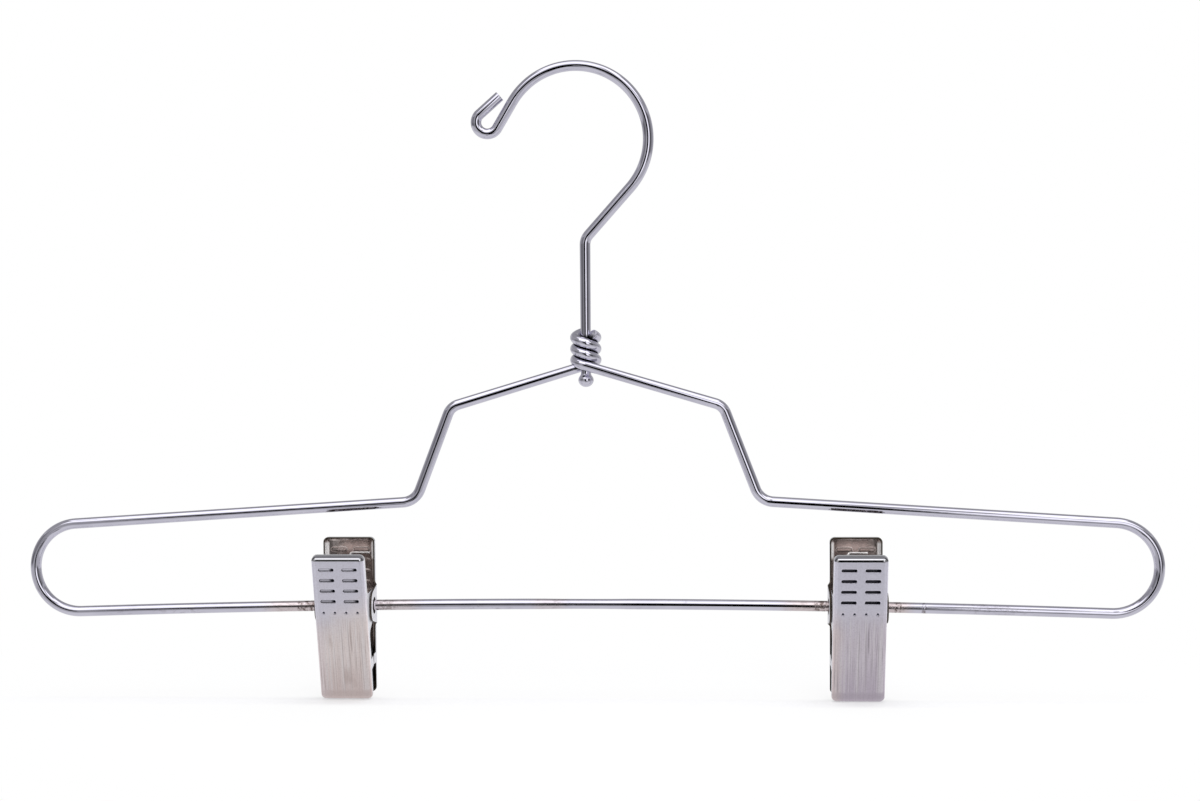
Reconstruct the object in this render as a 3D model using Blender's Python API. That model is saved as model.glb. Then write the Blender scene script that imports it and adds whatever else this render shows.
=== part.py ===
# Wire clip hanger: a hook that swivels in the twisted neck of a wire frame,
# and two spring clips that slide along the frame's bottom bar.
# Lengths in metres. X runs along the bar, Y is front (-) to back (+), Z is up.
# The origin is where a rail touches the inside of the hook, above the stem.
import bpy
import bmesh
import numpy as np
from math import pi, sin, cos, tan, sqrt, radians, atan2, acos, hypot
from mathutils import Vector, Matrix

mm = 0.001

# Wire frame
wire = 3.8 * mm  # wire of the frame and of the hook
overallWidth = 432.0 * mm
barParts = 14  # straight runs along the bar
barDepth = 201.47 * mm  # bar's centre line below the origin, at mid span
barRise = 6020.0 * mm  # radius of the bar's slight upward bow
armHeight = 158.1 * mm  # upper arms' line below the origin, carried to the centre
armSlope = 0.063
waistLine = 70.1 * mm  # steep parts' distance from the centre at steepDepth
steepDepth = 174.0 * mm
steepSlope = 0.384
shoulderSlope = 0.3
endBend = 17.0 * mm  # centre-line radii of the bends
waistBend = 7.6 * mm
shoulderBend = 6.0 * mm

# Twisted neck
coilDepth = 110.6 * mm  # first crossing of the arms, below the origin
coilRadius = 4.1 * mm
coilLead = 9.1 * mm  # rise of each wire in one turn
frontTurns = 1.5  # turns of the wire that passes in front first
backTurns = 1.38  # turns of the wire that passes behind first
coilSteps = 24  # points in a turn

# Hook
hookRadius = 27.6 * mm
hookOffset = 3.5 * mm  # hook's centre to the left of the stem
leanAngle = radians(41.8)  # slope of the shank, from vertical
shankBend = 4.5 * mm
curlRadius = 4.3 * mm
curlDrop = 18.7 * mm  # curl's centre below the origin
curlOut = 36.6 * mm  # curl's centre to the left of the stem
tipLean = radians(49.0)  # slope of the wire's short end, from vertical
tipLength = 10.7 * mm
ballDepth = 116.2 * mm  # ball's centre below the origin
ballRadius = 2.9 * mm
ballNeck = 0.5 * mm
ballSteps = 9  # rings of the ball, 15 degrees apart
arcSteps = 34  # points along the hook's arc
curlSteps = 14

# Clips
leftPlace = -93.0 * mm
rightPlace = 102.2 * mm
plateWidth = 20.0 * mm
backTop = 25.4 * mm  # handle's edge above the bar, along the plate
frontTop = 24.0 * mm
plateTip = 34.9 * mm  # jaw's edge below the bar, along the plate
plateStand = 10.4 * mm  # plate's outer face to the bar's centre line
plateTilt = radians(15.0)  # front plate's slope; the back plate is upright
sheet = 0.7 * mm
outerBend = 1.7 * mm
jawCorner = 3.0 * mm
handleWall = 3.3 * mm  # depth of the folded walls
jawWall = 2.9 * mm
handleCorner = 2.3 * mm
leastCorner = 0.3 * mm
tipWall = 2.5 * mm
earReach = 5.8 * mm  # past the bar's centre line
earHalf = 4.9 * mm  # half of the ear's height at its end
earTop = 7.6 * mm  # where the ear's edges meet the walls
earLow = 7.9 * mm
earCorner = 4.7 * mm
earFillet = 2.5 * mm
earStep = 1.0 * mm  # depth over which the wide ears slope outwards
earBand = 11.0 * mm  # the slope reaches this far above and below the bar
earHole = 3.2 * mm
earClearance = 0.35 * mm  # between the nested ears
tabTop = 19.4 * mm  # pad's side tabs, below the bar
tabHeight = 4.0 * mm
tabReach = 7.0 * mm
tabCorner = 0.5 * mm
padTop = 17.6 * mm
padBottom = 33.5 * mm
padBase = 1.3 * mm  # pad's back to the plate's outer face
padWidth = 17.8 * mm
padRibs = 6
padCorner = 2.2 * mm
padGroove = 0.8 * mm
wallSpan = 26.0 * mm  # width of the shape that trims the walls
gap = 0.3 * mm  # between separate pieces that touch
bite = 0.05 * mm  # overlap of shapes that are joined

# Embossing on the handles
rowCount = 4
firstRow = 5.0 * mm  # below the handle's edge
rowPitch = 4.28 * mm
grooveColumn = 4.4 * mm
grooveLength = 5.7 * mm
grooveWidth = 1.1 * mm
embossDepth = 0.4 * mm
ribGrow = 0.5 * mm  # the raised ribs inside are larger than the grooves outside
ribSink = 0.2 * mm  # ribs start inside the sheet
dimpleDepth = 0.3 * mm
dimpleRow = 22.5 * mm
dimpleColumns = (-6.45 * mm, -2.15 * mm, 2.15 * mm, 6.45 * mm)
dimpleRadius = 0.6 * mm

# Clip springs
springWire = 1.1 * mm
springRadius = 3.3 * mm
springTurns = 4
springPitch = 1.6 * mm
springLeft = -3.1 * mm  # back arm's place across the clip
leftSpringShift = 3.2 * mm  # the left clip's spring sits further right
legLength = 7.7 * mm
legHeight = 19.2 * mm  # leg above the bar, along the plate
legBend = 1.2 * mm
springSteps = 10  # points in a curl

for old in list(bpy.data.objects):
    bpy.data.objects.remove(old, do_unlink=True)

hanger = bpy.data.collections.new("clip_hanger")
cutters = bpy.data.collections.new("cutters")
bpy.context.scene.collection.children.link(hanger)
bpy.context.scene.collection.children.link(cutters)


def material(name, colour, metallic, roughness):
    made = bpy.data.materials.new(name)
    made.use_nodes = True
    shader = made.node_tree.nodes["Principled BSDF"]
    shader.inputs["Base Color"].default_value = (*colour, 1.0)
    shader.inputs["Metallic"].default_value = metallic
    shader.inputs["Roughness"].default_value = roughness
    made.diffuse_color = (*colour, 1.0)
    return made


def place(name, mesh, collection, at=(0, 0, 0), turn=0.0):
    made = bpy.data.objects.new(name, mesh)
    collection.objects.link(made)
    made.location = at
    made.rotation_euler = (turn, 0, 0)
    if collection is cutters:
        made.hide_render = True
        made.display_type = "WIRE"
    return made


def solidFromCurve(name, curve, move=None):
    # turns a curve into a closed mesh with welded caps and outward faces
    holder = bpy.data.objects.new(name, curve)
    bpy.context.scene.collection.objects.link(holder)
    bpy.context.view_layer.update()
    shape = holder.evaluated_get(bpy.context.evaluated_depsgraph_get())
    mesh = bpy.data.meshes.new_from_object(shape)
    mesh.name = name
    bpy.data.objects.remove(holder, do_unlink=True)
    bpy.data.curves.remove(curve)
    work = bmesh.new()
    work.from_mesh(mesh)
    bmesh.ops.remove_doubles(work, verts=work.verts, dist=0.01 * mm)
    if move is not None:
        bmesh.ops.transform(work, matrix=move, verts=work.verts)
    bmesh.ops.recalc_face_normals(work, faces=work.faces)
    if work.calc_volume(signed=True) < 0:
        bmesh.ops.reverse_faces(work, faces=work.faces)
    work.to_mesh(mesh)
    work.free()
    return mesh


def tube(name, points, thickness, sides, radii=None):
    curve = bpy.data.curves.new(name, "CURVE")
    curve.dimensions = "3D"
    curve.bevel_depth = thickness / 2
    curve.bevel_resolution = sides
    curve.use_fill_caps = True
    path = curve.splines.new("POLY")
    path.points.add(len(points) - 1)
    for n, p in enumerate(points):
        path.points[n].co = (*p, 1.0)
        if radii is not None:
            path.points[n].radius = radii[n]
    return solidFromCurve(name, curve)


def flatSolid(name, outlines, depth, axes, start, rim=0.0):
    # extrudes flat outlines; axes turns (across, along, depth) into local X, Y, Z
    curve = bpy.data.curves.new(name, "CURVE")
    curve.dimensions = "2D"
    curve.fill_mode = "BOTH"
    curve.extrude = depth / 2 - rim
    curve.bevel_depth = rim
    curve.bevel_resolution = 2 if rim else 0
    for outline in outlines:
        path = curve.splines.new("POLY")
        path.points.add(len(outline) - 1)
        for n, p in enumerate(outline):
            path.points[n].co = (p[0], p[1], 0.0, 1.0)
        path.use_cyclic_u = True
    lift = Matrix.Translation((0, 0, start + depth / 2))
    return solidFromCurve(name, curve, axes @ lift)


def corner(before, at, after, radius, steps):
    # points of an arc that rounds a corner
    a = (Vector(before) - Vector(at)).normalized()
    b = (Vector(after) - Vector(at)).normalized()
    half = a.angle(b) / 2
    reach = radius / tan(half)
    centre = Vector(at) + (a + b).normalized() * (radius / sin(half))
    first = Vector(at) + a * reach - centre
    last = Vector(at) + b * reach - centre
    sweep = first.angle(last)
    found = []
    for n in range(steps + 1):
        t = n / steps
        mix = (first * sin((1 - t) * sweep) + last * sin(t * sweep)) / sin(sweep)
        found.append(centre + mix)
    return found


def outline(corners):
    # corners are (across, along, radius, steps), in order round the shape
    found = []
    count = len(corners)
    for n, (x, y, radius, steps) in enumerate(corners):
        if radius == 0:
            found.append((x, y))
            continue
        before = corners[n - 1]
        after = corners[(n + 1) % count]
        for p in corner((before[0], before[1]), (x, y), (after[0], after[1]), radius, steps):
            found.append((p.x, p.y))
    return found


def modify(target, kind, cutter):
    made = target.modifiers.new(kind.lower(), "BOOLEAN")
    made.operation = kind
    made.object = cutter
    made.solver = "EXACT"
    return made


def closest(points, apart):
    # least distance between stretches of a path that lie apart along it
    p = np.array([tuple(q) for q in points])
    seg = np.linalg.norm(np.diff(p, axis=0), axis=1)
    far = np.concatenate([[0], np.cumsum(seg)])
    fine = np.linspace(0, far[-1], int(far[-1] / (0.25 * mm)))
    q = np.stack([np.interp(fine, far, p[:, k]) for k in range(3)], axis=1)
    least = 1.0
    for n in range(len(q)):
        later = fine > fine[n] + apart
        if later.any():
            least = min(least, float(np.linalg.norm(q[later] - q[n], axis=1).min()))
    return least


# Frame wire: from the end at the top of the neck, down round the stem, along the
# right side, back along the bar, up the left side and round the stem again.
def barLevel(x):
    return -barDepth - (barRise - sqrt(barRise * barRise - x * x))


sideX = overallWidth / 2 - wire / 2  # the frame's two ends
barEdgeX = sideX - endBend
shoulderX = (waistLine - steepSlope * (steepDepth - coilDepth)) / (1 - steepSlope * shoulderSlope)
shoulder = Vector((shoulderX, 0, -coilDepth - shoulderSlope * shoulderX))
waistX = (waistLine - steepSlope * (steepDepth - armHeight)) / (1 - steepSlope * armSlope)
waist = Vector((waistX, 0, -armHeight - armSlope * waistX))
endTop = Vector((sideX, 0, -armHeight - armSlope * sideX))
barSlope = barEdgeX / sqrt(barRise * barRise - barEdgeX * barEdgeX)
endLow = Vector((sideX, 0, barLevel(barEdgeX) - barSlope * (sideX - barEdgeX)))
barEdge = Vector((barEdgeX, 0, barLevel(barEdgeX)))


def sideRun(front):
    # one side, from the first crossing to the start of the bar; front is -1 or 1
    cross = Vector((0, front * coilRadius, -coilDepth))
    run = [cross]
    run += corner(cross, shoulder, waist, shoulderBend, 5)
    run += corner(shoulder, waist, endTop, waistBend, 5)
    run += corner(waist, endTop, endLow, endBend, 8)
    run += corner(endTop, endLow, barEdge, endBend, 8)
    return run


def neckTurns(front, turns):
    # climbs clockwise, seen from above, starting in front (-1) or behind (1)
    found = []
    count = round(turns * coilSteps)
    for n in range(1, count + 1):
        turn = n / coilSteps
        a = front * pi / 2 - 2 * pi * turn
        found.append(Vector((coilRadius * cos(a), coilRadius * sin(a), -coilDepth + coilLead * turn)))
    return found


rightRun = sideRun(-1)
leftRun = [Vector((-p.x, p.y, p.z)) for p in sideRun(1)]
bar = []
for n in range(1, barParts):
    x = barEdgeX * (1 - 2 * n / barParts)
    bar.append(Vector((x, 0, barLevel(x))))
framePath = list(reversed(neckTurns(-1, frontTurns))) + rightRun + bar
framePath += list(reversed(leftRun)) + neckTurns(1, backTurns)
frameMesh = tube("frame_wire", framePath, wire, 4)
place("frame_wire", frameMesh, hanger)
frameMesh.materials.append(material("chrome_wire", (0.72, 0.72, 0.76), 1.0, 0.12))
print("frame wire, least gap to itself:", round((closest(framePath, 12 * mm) - wire) / mm, 2), "mm")

# Hook: from the ball at the stem's foot, up, round over the rail and into the curl.
def onCircle(centre, radius, angle):
    return centre + radius * Vector((cos(angle), 0, sin(angle)))


railTop = sqrt((hookRadius - wire / 2) ** 2 - hookOffset**2)
hookCentre = Vector((-hookOffset, 0, -railTop))
curlCentre = Vector((-curlOut, 0, -curlDrop))
stemFoot = Vector((0, 0, -ballDepth))
leanWay = Vector((sin(leanAngle), 0, cos(leanAngle)))
leanFoot = onCircle(hookCentre, hookRadius, -leanAngle)
shankLow = leanFoot - leanWay * (leanFoot.x / leanWay.x)
between = curlCentre - hookCentre
arcEnd = atan2(between.z, between.x) - acos((hookRadius + curlRadius) / between.length)

hookPath = []
hookRadii = []
for n in range(1, ballSteps):
    a = pi * n / 12
    hookPath.append(stemFoot - Vector((0, 0, ballRadius * cos(a))))
    hookRadii.append(ballRadius * sin(a) / (wire / 2))
neckRise = sqrt(ballRadius**2 - (wire / 2) ** 2)
hookPath.append(stemFoot + Vector((0, 0, neckRise + ballNeck)))
hookPath += corner(stemFoot, shankLow, leanFoot, shankBend, 5)
for n in range(arcSteps + 1):
    a = -leanAngle + (arcEnd + leanAngle) * n / arcSteps
    hookPath.append(onCircle(hookCentre, hookRadius, a))
for n in range(curlSteps + 1):
    a = arcEnd + pi + (tipLean + pi / 2 - arcEnd - pi) * n / curlSteps
    hookPath.append(onCircle(curlCentre, curlRadius, a))
hookPath.append(hookPath[-1] + Vector((sin(tipLean), 0, cos(tipLean))) * tipLength)
hookRadii += [1.0] * (len(hookPath) - len(hookRadii))
hookMesh = tube("hook", hookPath, wire, 4, hookRadii)
hookMesh.materials.append(material("chrome_hook", (0.74, 0.74, 0.78), 1.0, 0.12))
place("hook", hookMesh, hanger)
print("hook, least gap to itself:", round((closest(hookPath, 25 * mm) - wire) / mm, 2), "mm")


# Clips. A plate is drawn upright, with the bar's centre line at the origin: x across,
# v inwards from its outer face, z up. Side 1 is the back plate, side -1 the front one.
def faceAxes(side):
    return Matrix(((1, 0, 0, 0), (0, 0, -side, side * plateStand), (0, 1, 0, 0), (0, 0, 0, 1)))


def wallAxes(side):
    return Matrix(((0, 0, 1, 0), (-side, 0, 0, side * plateStand), (0, 1, 0, 0), (0, 0, 0, 1)))


def plateOutline(inset, edge):
    half = plateWidth / 2 - inset
    top = edge - inset
    tip = -plateTip + inset
    handle = max(handleCorner - inset, leastCorner)
    jaw = max(jawCorner - inset, leastCorner)
    upper = [(half, top, handle, 2), (-half, top, handle, 2)]
    lower = [(-half, tip, jaw, 3), (half, tip, jaw, 3)]
    return outline(upper + lower)


def wallOutline():
    # the folded walls seen from the side, with the ear round the bar and the pad's tab
    back = -2 * mm
    end = plateStand + earReach
    tabLow = tabTop + tabHeight
    return outline(
        [
            (back, backTop + mm, 0, 0),
            (handleWall, backTop + mm, 0, 0),
            (handleWall, earTop, earFillet, 4),
            (end, earHalf, earCorner, 6),
            (end, -earHalf, earCorner, 6),
            (handleWall, -earLow, earFillet, 4),
            (handleWall, -tabTop, tabCorner, 2),
            (tabReach, -tabTop, tabCorner, 2),
            (tabReach, -tabLow, tabCorner, 2),
            (jawWall, -tabLow, tabCorner, 2),
            (tipWall, -plateTip - mm, 0, 0),
            (back, -plateTip - mm, 0, 0),
        ]
    )


def slot(x, z, length, width):
    reach = (length - width) / 2
    found = []
    for n in range(10):
        a = -pi / 2 + pi * n / 4 if n < 5 else pi / 2 + pi * (n - 5) / 4
        shift = reach if n < 5 else -reach
        found.append((x + shift + width / 2 * cos(a), z + width / 2 * sin(a)))
    return found


def embossing(grow, edge):
    found = []
    for row in range(rowCount):
        z = edge - firstRow - row * rowPitch
        for column in (-grooveColumn, grooveColumn):
            found.append(slot(column, z, grooveLength + grow, grooveWidth + grow))
    return found


def circle(x, z, radius, steps):
    turns = [2 * pi * n / steps for n in range(steps)]
    return [(x + radius * cos(a), z + radius * sin(a)) for a in turns]


def crossAxes(side):
    # x across, v inwards, then up
    return Matrix(((1, 0, 0, 0), (0, -side, 0, side * plateStand), (0, 0, 1, 0), (0, 0, 0, 1)))


def flared(narrow, wide, start, deep, half, side):
    # a channel's cross section that slopes outwards from start, drawn half way up and down
    shape = [(-narrow, start), (narrow, start), (wide, start + earStep), (wide, deep)]
    shape += [(-wide, deep), (-wide, start + earStep)]
    return flatSolid("flare", [shape], 2 * half, crossAxes(side), -half)


def joined(meshes):
    work = bmesh.new()
    for mesh in meshes:
        work.from_mesh(mesh)
        bpy.data.meshes.remove(mesh)
    made = bpy.data.meshes.new("joined")
    work.to_mesh(made)
    work.free()
    return made


def plate(name, side, at, turn, colour, edge, wideEars):
    deep = plateStand + earReach + mm
    innerBend = outerBend - sheet
    outer = flatSolid(name, [plateOutline(outerBend, edge)], deep, faceAxes(side), 0, outerBend)
    hollow = [plateOutline(sheet + innerBend, edge)]
    inner = flatSolid("hollow", hollow, deep, faceAxes(side), sheet, innerBend)
    wall = flatSolid("wall", [wallOutline()], wallSpan, wallAxes(side), -wallSpan / 2)
    made = place(name, outer, hanger, at, turn)
    outer.materials.append(material(name, colour, 1.0, 0.3))
    if wideEars:
        # the ears slope out by a sheet's thickness, to pass outside the other plate's ears
        narrow = plateWidth / 2
        wide = narrow + earClearance + sheet
        flare = flared(narrow - bite, wide, handleWall, deep - mm / 2, earBand, side)
        modify(made, "UNION", place(name + "_flare", flare, cutters, at, turn))
        modify(made, "DIFFERENCE", place(name + "_hollow", inner, cutters, at, turn))
        lift = sheet * (hypot(wide - narrow, earStep) - earStep) / (wide - narrow)
        room = flared(narrow - sheet - bite, wide - sheet, handleWall + lift, deep + mm, earBand + mm, side)
        modify(made, "DIFFERENCE", place(name + "_room", room, cutters, at, turn))
    else:
        modify(made, "DIFFERENCE", place(name + "_hollow", inner, cutters, at, turn))
    modify(made, "INTERSECT", place(name + "_wall", wall, cutters, at, turn))
    raised = embossing(ribGrow, edge)
    ribs = flatSolid("ribs", raised, embossDepth + ribSink, faceAxes(side), sheet - ribSink)
    modify(made, "UNION", place(name + "_ribs", ribs, cutters, at, turn))
    grooves = flatSolid("grooves", embossing(0, edge), mm + embossDepth, faceAxes(side), -mm)
    row = [circle(x, edge - dimpleRow, dimpleRadius, 8) for x in dimpleColumns]
    dimples = flatSolid("dimples", row, mm + dimpleDepth, faceAxes(side), -mm)
    pin = [circle(plateStand, 0, earHole, 20)]
    hole = flatSolid("hole", pin, wallSpan, wallAxes(side), -wallSpan / 2)
    cuts = joined([grooves, dimples, hole])
    modify(made, "DIFFERENCE", place(name + "_cuts", cuts, cutters, at, turn))
    return made


def padOutline():
    # a wedge between the plate and the mid plane, with ribs across its gripping face
    lean = tan(plateTilt / 2)

    def middle(z):
        return plateStand + z * lean - gap / 2

    found = [(padBase, -padBottom), (middle(-padBottom), -padBottom)]
    pitch = (padBottom - padTop) / padRibs
    for n in range(1, padRibs):
        z = -padBottom + n * pitch
        low = z - padGroove / 2
        high = z + padGroove / 2
        found += [(middle(low), low), (middle(low) - padGroove, z), (middle(high), high)]
    found += [(middle(-padTop), -padTop), (padBase, -padTop)]
    return found


def pad(name, side, at, turn):
    mesh = flatSolid(name, [padOutline()], padWidth + mm, wallAxes(side), -(padWidth + mm) / 2)
    mesh.materials.append(material(name, (0.02, 0.02, 0.02), 0.0, 0.6))
    made = place(name, mesh, hanger, at, turn)
    half = padWidth / 2
    low = padCorner
    high = padCorner / 2
    shape = [(half, -padTop, high, 2), (-half, -padTop, high, 2)]
    shape += [(-half, -padBottom, low, 3), (half, -padBottom, low, 3)]
    trim = flatSolid("trim", [outline(shape)], plateStand, faceAxes(side), 0)
    modify(made, "INTERSECT", place(name + "_trim", trim, cutters, at, turn))
    return made


def springPath(left):
    # coil round the bar; each arm runs straight to its handle and ends in a leg across it
    lean = plateTilt / 2
    stand = plateStand - sheet - embossDepth - gap - springWire / 2
    away = stand * cos(lean) + legHeight * sin(lean)  # from the clip's mid plane
    up = -stand * sin(lean) + legHeight * cos(lean)
    start = atan2(up, away) - acos(springRadius / hypot(away, up))
    sweep = -(pi + 2 * start) - 2 * pi * springTurns
    right = left - sweep / (2 * pi) * springPitch

    def turned(x, m, w):
        return Vector((x, m * cos(lean) - w * sin(lean), m * sin(lean) + w * cos(lean)))

    coil = []
    steps = round(-sweep / (2 * pi) * springSteps)
    for n in range(steps + 1):
        a = start + sweep * n / steps
        x = left + (right - left) * n / steps
        coil.append(turned(x, springRadius * cos(a), springRadius * sin(a)))
    backLeg = turned(left + legLength, away, up)
    backBend = turned(left, away, up)
    frontBend = turned(right, -away, up)
    frontLeg = turned(right - legLength, -away, up)
    path = [backLeg] + corner(backLeg, backBend, coil[0], legBend, 3)
    path += coil + corner(coil[-1], frontBend, frontLeg, legBend, 3) + [frontLeg]
    return path


satin = (0.62, 0.60, 0.62)
for side, x, shift in (("left", leftPlace, leftSpringShift), ("right", rightPlace, 0.0)):
    at = (x, 0, barLevel(x))
    plate(side + "_back_plate", 1, at, 0.0, satin, backTop, True)
    plate(side + "_front_plate", -1, at, plateTilt, satin, frontTop, False)
    pad(side + "_back_pad", 1, at, 0.0)
    pad(side + "_front_pad", -1, at, plateTilt)
    path = springPath(springLeft + shift)
    name = side + "_spring"
    springMesh = tube(name, path, springWire, 1)
    springMesh.materials.append(material(name, (0.6, 0.6, 0.62), 1.0, 0.3))
    place(name, springMesh, hanger, at)
    spare = round((closest(path, 8 * mm) - springWire) / mm, 2)
    print(side, "spring, least gap to itself:", spare, "mm")
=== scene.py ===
from math import acos, atan2, cos, hypot, pi, radians, sin, sqrt, tan

import bmesh
import bpy
import numpy as np
from mathutils import Matrix, Vector


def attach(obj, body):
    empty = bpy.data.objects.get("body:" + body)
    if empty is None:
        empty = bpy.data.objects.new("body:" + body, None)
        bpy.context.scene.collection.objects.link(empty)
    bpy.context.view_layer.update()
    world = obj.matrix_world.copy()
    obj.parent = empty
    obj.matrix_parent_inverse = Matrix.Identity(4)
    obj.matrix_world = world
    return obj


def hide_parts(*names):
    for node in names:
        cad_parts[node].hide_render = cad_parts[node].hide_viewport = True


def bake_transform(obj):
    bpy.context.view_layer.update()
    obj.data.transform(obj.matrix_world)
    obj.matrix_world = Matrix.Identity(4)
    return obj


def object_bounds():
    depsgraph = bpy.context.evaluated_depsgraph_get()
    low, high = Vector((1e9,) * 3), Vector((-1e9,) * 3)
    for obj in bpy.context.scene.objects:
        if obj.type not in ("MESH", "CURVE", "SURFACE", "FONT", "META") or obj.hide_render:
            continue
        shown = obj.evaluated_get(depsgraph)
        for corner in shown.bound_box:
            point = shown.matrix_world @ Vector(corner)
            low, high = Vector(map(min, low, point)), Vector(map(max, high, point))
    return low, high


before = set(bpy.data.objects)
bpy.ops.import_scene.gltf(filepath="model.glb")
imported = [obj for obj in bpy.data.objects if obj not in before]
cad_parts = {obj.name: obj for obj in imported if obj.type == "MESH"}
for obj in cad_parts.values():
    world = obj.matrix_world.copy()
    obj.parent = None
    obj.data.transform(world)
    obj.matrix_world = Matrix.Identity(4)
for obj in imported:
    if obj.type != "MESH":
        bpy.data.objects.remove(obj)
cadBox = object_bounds()
mm = 0.001
print("stage: frame loaded")


# Meshes
def finishMesh(name, points, faces, uv=None, marks=None):
    # a smooth mesh from whole arrays, turned outwards, with its uv map and its point values
    mesh = bpy.data.meshes.new(name)
    mesh.from_pydata(points.tolist(), [], [face for part in faces for face in part.tolist()])
    if uv is not None:
        mesh.uv_layers.new(name="along").data.foreach_set("uv", uv.ravel())
    work = bmesh.new()
    work.from_mesh(mesh)
    bmesh.ops.recalc_face_normals(work, faces=work.faces)
    if work.calc_volume(signed=True) < 0:
        bmesh.ops.reverse_faces(work, faces=work.faces)
    work.to_mesh(mesh)
    work.free()
    mesh.polygons.foreach_set("use_smooth", np.ones(len(mesh.polygons), bool))
    for key, values in (marks or {}).items():
        mesh.attributes.new(key, "FLOAT", "POINT").data.foreach_set("value", values.astype(np.float32))
    mesh.update()
    return mesh


def addObject(name, data):
    made = bpy.data.objects.new(name, data)
    bpy.context.scene.collection.objects.link(made)
    return made


def addPiece(name, mesh, surface, node, body=None):
    # puts a finished mesh in the scene in place of a solid of the frame
    piece = addObject(name, mesh)
    mesh.materials.append(surface)
    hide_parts(node)
    if body is not None:
        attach(piece, body)
    return piece


def unit(vectors):
    return vectors / np.linalg.norm(vectors, axis=-1, keepdims=True)


def smooth(t):
    t = np.clip(t, 0, 1)
    return t * t * (3 - 2 * t)


def distances(path):
    return np.concatenate([[0], np.cumsum(np.linalg.norm(np.diff(path, axis=0), axis=1))])


def rounded(corners, radii, steps):
    # a run of straight lines with each inner corner replaced by an arc that touches both lines
    p = np.array(corners, float)
    found = [p[:1]]
    for k in range(1, len(p) - 1):
        if radii[k] == 0:
            found.append(p[k : k + 1])
            continue
        a, b = unit(p[k - 1] - p[k]), unit(p[k + 1] - p[k])
        half = acos(np.clip(a @ b, -1, 1)) / 2
        centre = p[k] + unit(a + b) * radii[k] / sin(half)
        first = p[k] + a * radii[k] / tan(half) - centre
        last = p[k] + b * radii[k] / tan(half) - centre
        sweep = pi - 2 * half
        t = np.linspace(0, 1, steps[k] + 1)[:, None]
        found.append(centre + (first * np.sin((1 - t) * sweep) + last * np.sin(t * sweep)) / sin(sweep))
    found.append(p[-1:])
    return np.concatenate(found)


def gridFaces(rows, columns, closed=False):
    # four-sided faces of a grid of points, row by row
    k, j = np.meshgrid(np.arange(rows - 1), np.arange(columns - (not closed)), indexing="ij")
    k, j = k.ravel(), j.ravel()
    after = (j + 1) % columns
    corners = [k * columns + j, k * columns + after, (k + 1) * columns + after, (k + 1) * columns + j]
    return np.stack(corners, 1)


def drawnWire(name, path, radii, sides, startRound, stopRound):
    # ring k: path[k] + radius[k] (cos(a) side[k] + sin(a) lift[k]); side is carried along
    # the path without twist. Each end is a flat cut with a rounded rim and a closed middle.
    turn = np.radians([90, 60, 30, 0])
    ahead = unit(np.gradient(path, axis=0))
    start = path[0] + ahead[0] * startRound * (1 - np.sin(turn)[:, None])
    stop = path[-1] - ahead[-1] * stopRound * (1 - np.sin(turn)[::-1, None])
    startRadii = radii[0] - startRound * (1 - np.cos(turn))
    stopRadii = radii[-1] - stopRound * (1 - np.cos(turn[::-1]))
    inner = slice(1, len(path) - 1)
    rings = np.concatenate([path[:1], start, path[inner], stop, path[-1:]])
    width = np.concatenate([[0], startRadii, radii[inner], stopRadii, [0]])
    ends = len(turn) + 1
    along = np.concatenate([np.repeat(ahead[:1], ends, 0), ahead[inner], np.repeat(ahead[-1:], ends, 0)])
    side = np.empty_like(rings)
    reference = np.array([0.0, 1.0, 0.0])
    for k in range(len(rings)):
        reference = unit(reference - (reference @ along[k]) * along[k])
        side[k] = reference
    lift = np.cross(along, side)
    a = np.linspace(0, 2 * pi, sides, endpoint=False)[:, None]
    round = np.cos(a) * side[1:-1, None] + np.sin(a) * lift[1:-1, None]
    body = rings[1:-1, None] + width[1:-1, None, None] * round
    points = np.concatenate([body.reshape(-1, 3), rings[:1], rings[-1:]])
    quads = gridFaces(len(body), sides, True)
    foot, head, last = len(body) * sides, len(body) * sides + 1, (len(body) - 1) * sides
    j = np.arange(sides)
    after = (j + 1) % sides
    caps = [np.stack([after, j, foot + 0 * j], 1), np.stack([last + j, last + after, head + 0 * j], 1)]
    # uv: the distance along the wire, and the share of a turn round it
    far = distances(rings[1:-1])
    k, j = np.divmod(np.arange(len(quads)), sides)
    uv = np.stack([far[[k, k, k + 1, k + 1]], np.stack([j, j + 1, j + 1, j]) / sides], -1)
    capUv = np.zeros((2, sides, 3, 2))
    capUv[0, ..., 0] = far[0]
    capUv[1, ..., 0] = far[-1]
    capUv[..., 1, 1] = 0.5
    uv = np.concatenate([uv.transpose(1, 0, 2).reshape(-1, 2), capUv.reshape(-1, 2)])
    return finishMesh(name, points, [quads, *caps], uv)


# Shader sums
class Value:
    # wraps a socket; an operator adds one Math node
    def __init__(self, surface, socket):
        self.surface = surface
        self.socket = socket

    def sum(self, operation, *others):
        return self.surface.node("ShaderNodeMath", {"operation": operation}, dict(enumerate(others)))

    def __add__(self, other):
        return self.sum("ADD", self, other)

    __radd__ = __add__

    def __sub__(self, other):
        return self.sum("SUBTRACT", self, other)

    def __rsub__(self, other):
        return self.sum("SUBTRACT", other, self)

    def __mul__(self, other):
        return self.sum("MULTIPLY", self, other)

    __rmul__ = __mul__

    def most(self, other):
        return self.sum("MAXIMUM", self, other)

    def size(self):
        return self.sum("ABSOLUTE", self)

    def root(self):
        return self.sum("SQRT", self)

    def sign(self):
        return self.sum("SIGN", self)


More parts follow.
